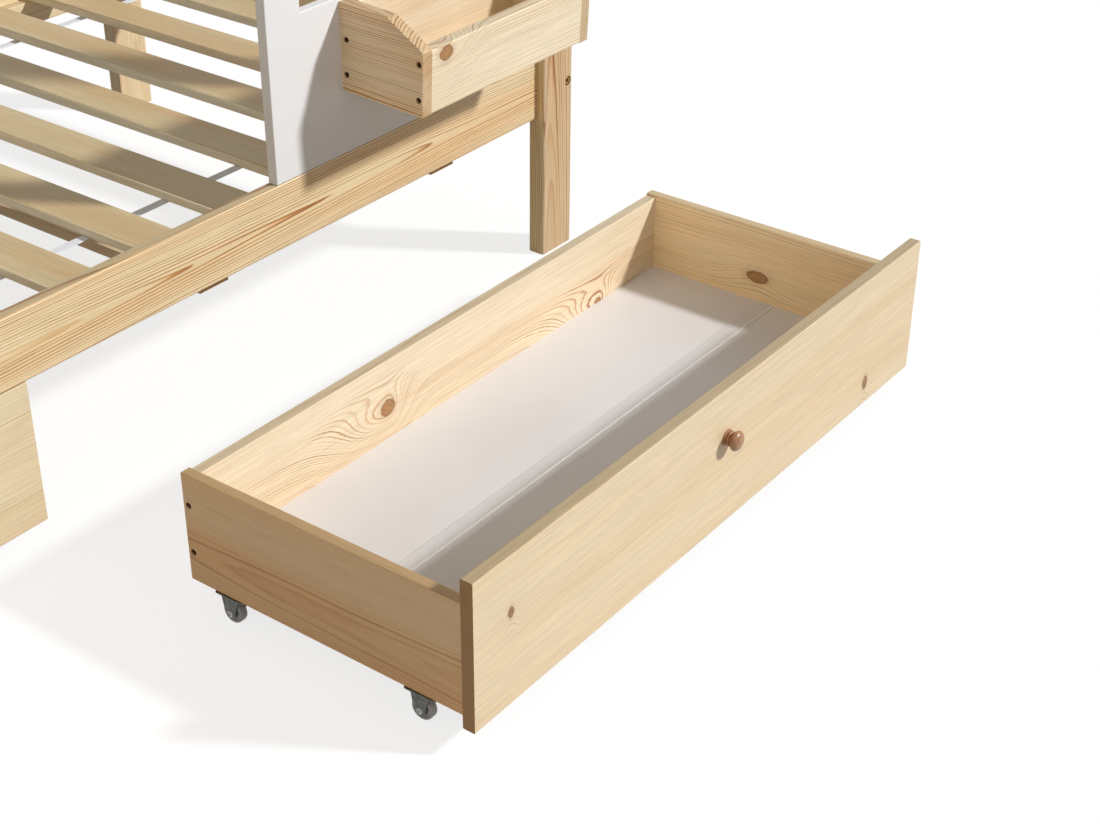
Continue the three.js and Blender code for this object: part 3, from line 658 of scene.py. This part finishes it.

# %% [markdown]
# ## Slats and their ribbons
# The mattress lies on fifteen slats that roll out of the box like a blind, because two woven
# ribbons are stapled under them. Each slat is a board of its own, so that its grain is its own.

# %% Slat bases
# The slats are painted darker than the other pine, as painted shade from the upper bunk, and their
# narrow sides are painted lighter, as painted light on sides that stand in shade.
slat_pine_painted_shading = carried_pine("slat_pine_painted_shading", Ring_Width=0.0036, Contrast=0.15, Warmth=0.6,
                         Tint=(0.72, 0.68, 0.56, 1), Edge_Tint=(1.5, 1.7, 2.3, 1))
slat_width, slat_thickness, slat_count = 0.065, 0.014, 15
ribbon_width, ribbon_thickness, ribbon_offset, ribbon_inset = 0.014, 0.001, 0.307, 0.002
for prefix in ("", "upper_"):
    low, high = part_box(prefix + "slat_base")
    chance = random.Random(prefix + "slats")
    pitch = (high.x - low.x - slat_width) / (slat_count - 1)
    bm = timber_mesh()
    for index in range(slat_count):
        left = low.x + index * pitch
        add_board(bm, (left, low.y, high.z - slat_thickness), (left + slat_width, high.y, high.z),
                  "yx", 0.002, chance, 2)
    finish_piece(prefix + "slats", bm, slat_pine_painted_shading, "bed", [prefix + "slat_base"])
    middle = (low.y + high.y) / 2
    bm = timber_mesh()
    for side in (-1, 1):
        start = middle + side * ribbon_offset - ribbon_width / 2
        add_board(bm, (low.x + ribbon_inset, start, low.z),
                  (high.x - ribbon_inset, start + ribbon_width, low.z + ribbon_thickness),
                  "xy", 0.0004, chance, 1)
    finish_piece(prefix + "ribbons", bm, ribbon_weave, "bed")

# %% [markdown]
# ## Guards and ladder
# Guards keep a sleeper in the upper bunk. Their boards are tenoned into thicker uprights, so
# each is built board by board, with the grain of the uprights standing and that of the boards
# lying. The ladder's rungs are rounded far more than the rest, because bare feet stand on them.

# %% Guards
bed_pine = carried_pine("bed_pine", edge_tone=0.4, Ring_Width=0.0034, Contrast=0.7, Warmth=0.5,
                        Tint=(0.95, 0.94, 0.92, 1), Stray_Knots=1.0)

def add_guard(bm, low, high, axis, uprights, chance):
    """Uprights and boards of a guard; its box is that of the uprights, its foot on the rail."""
    wide, gap, height, thickness, tenon, ease = 0.060, 0.070, 0.090, 0.018, 0.002, 0.002
    run, through = (0, 1) if axis == "x" else (1, 0)
    inset = (high[through] - low[through] - thickness) / 2
    step = (high[run] - low[run] - wide) / (uprights - 1)
    def sized(first, second, up):
        return (first, second, up) if axis == "x" else (second, first, up)
    start, side = low[run], low[through]
    for index in range(uprights):
        left = start + index * step
        far = sized(left + wide, side + thickness + 2 * inset, high.z)
        add_board(bm, sized(left, side, low.z), far, "z" + axis, ease, chance)
    for bay in range(uprights - 1):
        left = start + bay * step + wide - tenon
        right = left + step - wide + 2 * tenon
        for foot in (gap, 2 * gap + height):
            bottom = upper_rail_top + foot
            far = sized(right, side + inset + thickness, bottom + height)
            add_board(bm, sized(left, side + inset, bottom), far, axis + "z", ease, chance)

upper_rail_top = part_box("upper_front_rail")[1].z
for node, uprights in (("front_guard", 3), ("back_guard", 4)):
    bm = timber_mesh()
    add_guard(bm, *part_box(node), "x", uprights, random.Random(node))
    finish_piece(node + "_boards", bm, bed_pine, "bed", [node])

for side in sides:
    node = f"upper_{side}_end_frame"
    low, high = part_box(node)
    bm, chance = timber_mesh(), random.Random(node)
    add_board(bm, low, (high.x, high.y, upper_rail_top), "yz", 0.003, chance)
    foot = Vector((low.x + 0.001, low.y, upper_rail_top))
    add_guard(bm, foot, Vector((high.x - 0.001, high.y, high.z)), "y", 3, chance)
    finish_piece(node + "_boards", bm, bed_pine, "bed", [node])

# %% Ladder
low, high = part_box("ladder")
stile_width, stile_depth, rung_height, rung_count, tenon = 0.060, 0.028, 0.028, 4, 0.002
bm, chance = timber_mesh(), random.Random("ladder")
for left in (low.x, high.x - stile_width):
    add_board(bm, (left, high.y - stile_depth, low.z), (left + stile_width, high.y, high.z),
              "zx", 0.003, chance)
first_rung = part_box("front_rail")[1].z + 0.190
last_rung = upper_rail_top + 0.0135 - rung_height
for index in range(rung_count):
    foot = first_rung + index * (last_rung - first_rung) / (rung_count - 1)
    add_board(bm, (low.x + stile_width - tenon, low.y, foot),
              (high.x - stile_width + tenon, high.y, foot + rung_height), "xy", 0.009, chance, 6)
finish_piece("ladder_boards", bm, bed_pine, "bed", ["ladder"])

# %% [markdown]
# ## The painted panel
# The CAD panel has the right shape with razor-sharp edges. Paint never covers such an edge, so
# joiners break it with sandpaper. A copy of the mesh is merged, its flat triangles are dissolved
# into whole faces, and a small bevel breaks its edges.

# %% Panel with broken edges
def softened(node, width):
    bm = bmesh.new()
    bm.from_mesh(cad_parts[node].data)
    bmesh.ops.remove_doubles(bm, verts=bm.verts, dist=1e-5)
    bmesh.ops.dissolve_limit(bm, angle_limit=math.radians(1), verts=bm.verts, edges=bm.edges)
    sharp = [edge for edge in bm.edges if edge.is_manifold and edge.calc_face_angle() > 0.7]
    for face in rounded(bm, sharp, width, 3):
        face.smooth = True
    return bm

broken_edge = 0.0012
finish_piece("painted_panel", softened("window_panel", broken_edge), white_paint, "bed",
             ["window_panel"])

# %% [markdown]
# ## Turned pieces
# A lathe makes knobs, wheels and washers, and Blender's lathe is the spin. The profile is a few
# corners from the axis outwards; a vertex bevel rounds those that the tool rounded, and the spin
# turns the line into a skin. Doubled points on the axis are merged before the normals are set.

# %% Lathe and stamp
def hard_edged(name, bm):
    """A finished shape, sharp where its faces meet at more than 38 degrees."""
    mesh = saved(name, bm)
    mesh.set_sharp_from_angle(angle=math.radians(38))
    print(name, len(mesh.polygons), "faces")
    return mesh

def turned(name, profile, steps):
    """A mesh turned about Z from (radius, height, rounding) corners."""
    bm = bmesh.new()
    line = [bm.verts.new((radius, 0, height)) for radius, height, _ in profile]
    for pair in zip(line, line[1:]):
        bm.edges.new(pair)
    for corner, (_, _, rounding) in zip(line, profile):
        if rounding:
            rounded(bm, [corner], rounding, 4, "VERTICES")
    bmesh.ops.spin(bm, geom=bm.verts[:] + bm.edges[:], cent=(0, 0, 0), axis=(0, 0, 1),
                   angle=math.tau, steps=steps, use_merge=True)
    bmesh.ops.remove_doubles(bm, verts=bm.verts, dist=1e-6)
    bmesh.ops.recalc_face_normals(bm, faces=bm.faces)
    for face in bm.faces:
        face.smooth = True
    return hard_edged(name, bm)

def stamp(bm, shape, place):
    """Adds a copy of a finished shape at a place."""
    first = len(bm.verts)
    bm.from_mesh(shape)
    bm.verts.ensure_lookup_table()
    bmesh.ops.transform(bm, matrix=place, verts=bm.verts[first:])

def facing(point, outward):
    """A place at a point whose Z axis looks outward."""
    return Matrix.Translation(point) @ turned_to(outward)

# %% Knobs
knob_shape = turned("knob_shape", [
    (0, 0, 0), (0.0105, 0, 0.0004), (0.0105, 0.0026, 0.0009), (0.0078, 0.0030, 0.0003),
    (0.0076, 0.0038, 0.0003), (0.0098, 0.0046, 0.0008), (0.0098, 0.0070, 0.0009),
    (0.0075, 0.0078, 0.0004), (0.0074, 0.0094, 0.0006), (0.0108, 0.0104, 0.0014),
    (0.0126, 0.0124, 0.0008), (0.0126, 0.0142, 0.0008), (0.0112, 0.0172, 0.0022),
    (0.0070, 0.0192, 0.0022), (0, 0.0195, 0)], 40)
for side in sides:
    low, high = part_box(f"{side}_drawer_knob")
    bm = bmesh.new()
    middle = (low + high) / 2
    stamp(bm, knob_shape, facing((middle.x, high.y, middle.z), (0, -1, 0)))
    finish_piece(f"{side}_turned_knob", bm, stained_beech, f"{side}_drawer",
                 [f"{side}_drawer_knob"])

# %% [markdown]
# ## Castors
# A fixed castor is one strip of steel pressed into a plate and two tapering cheeks, with a
# riveted axle and a moulded wheel. The cheek is a four-cornered face whose lower corners get a
# vertex bevel, so it runs round the axle; an extrusion gives it the thickness of the sheet and
# a last bevel the soft rim that a press leaves. One castor is made at the origin and stamped in
# each place. The wheel is a piece by itself, because it turns.

# %% Castor bracket
plate_height, plate_thickness, screw_offset = 0.0242, 0.002, 0.0158
fork_half, sheet = 0.0072, 0.0018

def rounded_sheet(bm, corners, roundings, push, rim=0.0004):
    """A flat sheet from its corners, some of them rounded, pushed out to its thickness."""
    verts = [bm.verts.new(corner) for corner in corners]
    bm.faces.new(verts)
    for vert, rounding in zip(verts, roundings):
        if rounding:
            rounded(bm, [vert], rounding, 6, "VERTICES")
    faces = [face for face in bm.faces if not face.tag]
    raised = bmesh.ops.extrude_face_region(bm, geom=faces)["geom"]
    moved = [item for item in raised if isinstance(item, bmesh.types.BMVert)]
    bmesh.ops.translate(bm, vec=push, verts=moved)
    fresh = [face for face in bm.faces if not face.tag]
    bmesh.ops.recalc_face_normals(bm, faces=fresh)
    rims = {edge for face in fresh for edge in face.edges if edge.calc_face_angle(0) > 1.2}
    rounded(bm, list(rims), rim, 2)
    for face in bm.faces:
        face.tag = True
        face.smooth = True

bm = bmesh.new()
rounded_sheet(bm, [(-0.009, -0.020, plate_height), (0.009, -0.020, plate_height),
                   (0.009, 0.020, plate_height), (-0.009, 0.020, plate_height)],
              [0.002] * 4, (0, 0, -plate_thickness), 0.0007)
for side in (-1, 1):
    inner = side * fork_half
    rounded_sheet(bm, [(inner, -0.012, plate_height - 0.001), (inner, -0.0065, -0.0065),
                       (inner, 0.0065, -0.0065), (inner, 0.012, plate_height - 0.001)],
                  [0, 0.0062, 0.0062, 0], (side * sheet, 0, 0))
bracket_shape = hard_edged("bracket_shape", bm)

# %% Washer, axle and wheel
washer_shape = turned("washer_shape", [
    (0, 0, 0), (0.0040, 0, 0), (0.0040, 0.0004, 0.0002), (0, 0.0005, 0)], 24)
axle_shape = turned("axle_shape", [(0, -fork_half, 0), (0.0024, -fork_half, 0),
                                   (0.0024, fork_half, 0), (0, fork_half, 0)], 16)
one_side = [
    (0.00275, -0.0060, 0), (0.0052, -0.0060, 0.0005), (0.0060, -0.0042, 0.0006),
    (0.0098, -0.0040, 0.0006), (0.0106, -0.0058, 0.0005), (0.0140, -0.0054, 0.0022)]
other_side = [(radius, -height, rounding) for radius, height, rounding in reversed(one_side)]
wheel_shape = turned("wheel_shape", one_side + other_side + one_side[:1], 40)

# %% [markdown]
# ## Screws and bolts
# Every recess in the CAD boards holds a head. A head is turned like a knob, and the ring of
# points round its socket is then pulled in and out: six straight sides make a hexagon for an
# Allen key, and four lobes make the cross for a screwdriver.

# %% Fastener heads
def lobed(lobes, angle):
    """How far the socket's edge is from the axis, as a share of its radius."""
    if lobes == 6:
        step = math.pi / 3
        return math.cos(step / 2) / math.cos((angle + step / 2) % step - step / 2)
    return 0.42 + 0.58 * abs(math.cos(2 * angle)) ** 1.5

def head_shape(name, radius, height, socket, depth, lobes):
    mesh = turned(name, [
        (0, height - depth, 0), (socket, height - depth, 0), (socket, height, 0),
        (radius * 0.8, height, radius * 0.1), (radius, height * 0.45, radius * 0.08),
        (radius, 0, 0)], 48)
    for vert in mesh.vertices:
        out = math.hypot(vert.co.x, vert.co.y)
        if abs(out - socket) < 1e-5:
            share = lobed(lobes, math.atan2(vert.co.y, vert.co.x))
            vert.co.x *= share
            vert.co.y *= share
    return mesh

screw_shape = head_shape("screw_shape", 0.0040, 0.0018, 0.0024, 0.0012, 4)
rivet_shape = head_shape("rivet_shape", 0.0030, 0.0012, 0.0017, 0.0006, 4)
bolt_shape = head_shape("bolt_shape", 0.0072, 0.0034, 0.0036, 0.0028, 6)

def add_heads(name, shape, seats, material, body):
    bm = bmesh.new()
    for point, outward in seats:
        stamp(bm, shape, facing(point, outward))
    finish_piece(name, bm, material, body)

# %% Castors in place
tread_start, tread_fade = 0.0128, 0.0011

for side in sides:
    body = f"{side}_drawer"
    for spot in ("front_left", "front_right", "back_left", "back_right"):
        stem = f"{body}_{spot}"
        wheel = stem + "_wheel"
        low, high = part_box(wheel)
        axle = Matrix.Translation((low + high) / 2)
        bm = bmesh.new()
        stamp(bm, bracket_shape, axle)
        finish_piece(stem + "_bracket", bm, steel, body, [stem + "_castor"])
        bm = bmesh.new()
        for end in (-1, 1):
            outside = axle @ facing((end * (fork_half + sheet), 0, 0), (end, 0, 0))
            stamp(bm, washer_shape, outside)
            stamp(bm, rivet_shape, outside)
        stamp(bm, axle_shape, axle @ facing((0, 0, 0), (1, 0, 0)))
        for end in (-1, 1):
            under_plate = (0, end * screw_offset, plate_height - plate_thickness)
            stamp(bm, screw_shape, axle @ facing(under_plate, (0, 0, -1)))
        finish_piece(stem + "_rivets", bm, rivet_steel, body)
        bm = bmesh.new()
        bm.verts.layers.float.new("tread")
        stamp(bm, wheel_shape, axle @ facing((0, 0, 0), (1, 0, 0)))
        tread = bm.verts.layers.float["tread"]
        centre = axle.translation
        for vert in bm.verts:
            out = math.hypot(vert.co.y - centre.y, vert.co.z - centre.z)
            vert[tread] = max(0.0, min(1.0, (out - tread_start) / tread_fade))
        finish_piece(stem + "_tyre", bm, wheel_plastic, wheel, [wheel])

# %% [markdown]
# ## The drawer's floor
# The floor is two thin faced boards. A plastic strip with an H section grips both where they
# meet, so it stands a little proud. Its rolled front edge is smoother than the rest, catches the
# light, and is painted whiter than the strip as a painted highlight that draws the fine bright
# line, so it is a piece of its own.

# %% Drawer floors
lip, half_strip, bead, bead_rise = 0.0012, 0.011, 0.0024, 0.0003
for side in sides:
    body = f"{side}_drawer"
    low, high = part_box(body + "_bottom")
    middle = (low.y + high.y) / 2
    bm, chance = timber_mesh(), random.Random(side)
    for near, far in ((low.y, middle - 0.001), (middle + 0.001, high.y)):
        add_board(bm, (low.x, near, low.z + lip), (high.x, far, high.z - lip), "xy",
                  0.0003, chance, 1)
    finish_piece(body + "_floor", bm, white_board, body, [body + "_bottom"])
    bm = timber_mesh()
    add_board(bm, (low.x, middle - half_strip, low.z),
              (high.x, middle + half_strip, high.z - bead_rise), "xy", 0.0006, chance, 3)
    finish_piece(body + "_strip", bm, white_strip, body)
    bm, edge = timber_mesh(), middle - half_strip
    add_board(bm, (low.x, edge, high.z - 0.001), (high.x, edge + bead, high.z), "xy", 0.0004,
              chance, 3)
    finish_piece(body + "_bead", bm, highlight_bead, body)

# %% Screws in the drawers and the flower box
screw_sunk, bolt_sunk = 0.0039, 0.0049

for side in sides:
    seats = []
    for end, outward in reversed(ends):
        low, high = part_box(f"{side}_drawer_{end}_end")
        face = high.x if outward > 0 else low.x
        for height in (0.1024, 0.0394):
            seat = (face - outward * screw_sunk, high.y - 0.0075, low.z + height)
            seats.append((seat, (outward, 0, 0)))
    add_heads(f"{side}_drawer_screws", screw_shape, seats, screw_zinc_and_recess_shade, f"{side}_drawer")

seats, lean, box_depth, screw_inset = [], math.radians(2.8), 0.1325, 0.0064
for end, outward in reversed(ends):
    low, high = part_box(f"flower_box_{end}_end")
    face = high.x if outward > 0 else low.x
    hinge = Vector((face - outward * screw_sunk, high.y, low.z + box_depth * math.sin(lean)))
    for depth in (screw_inset, box_depth - screw_inset):
        for height in (0.0697, 0.0225):
            reach = Matrix.Rotation(lean, 3, "X") @ Vector((0, -depth, height))
            seats.append((hinge + reach, (outward, 0, 0)))
add_heads("flower_box_screws", screw_shape, seats, screw_zinc_and_recess_shade, "bed")

# %% Bolts and screws in the posts
bolts, screws = [], []
bolt_inset, side_screw_inset = 0.011, 0.022
rail_boxes = [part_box(rail) for rail in ("front_rail", "upper_front_rail")]
rail_middles = [(foot.z + top.z) / 2 for foot, top in rail_boxes]
for row, front in (("front", -1), ("back", 1)):
    for end, outward in ends:
        low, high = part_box(f"{row}_{end}_post")
        wide_face = low.y if front < 0 else high.y
        side_face = high.x if outward > 0 else low.x
        for height in rail_middles:
            seat = (side_face - outward * bolt_inset, wide_face - front * bolt_sunk, height)
            bolts.append((seat, (0, front, 0)))
            seat = (side_face - outward * bolt_sunk, wide_face - front * side_screw_inset, height)
            screws.append((seat, (outward, 0, 0)))
add_heads("post_bolts", bolt_shape, bolts, bolt_brass, "bed")
add_heads("post_screws", screw_shape, screws, screw_zinc_and_recess_shade, "bed")

# %% Ladder bolts and tie screws
low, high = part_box("ladder")
stile_middles = (low.x + stile_width / 2, high.x - stile_width / 2)
seats = [((x, high.y - stile_depth, height), (0, -1, 0))
         for x in stile_middles for height in rail_middles]
cap_shape = head_shape("cap_shape", 0.0085, 0.0036, 0.0032, 0.002, 6)
add_heads("ladder_bolts", cap_shape, seats, bolt_brass, "bed")
seats, from_end, from_side, sunk = [], 0.010, 0.014, 0.0002
for number in range(1, 5):
    low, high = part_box(f"cross_tie_{number}")
    for y in (low.y + from_end, high.y - from_end):
        for x in (low.x + from_side, high.x - from_side):
            seats.append(((x, y, low.z + sunk), (0, 0, -1)))
add_heads("tie_screws", screw_shape, seats, screw_zinc_and_recess_shade, "bed")
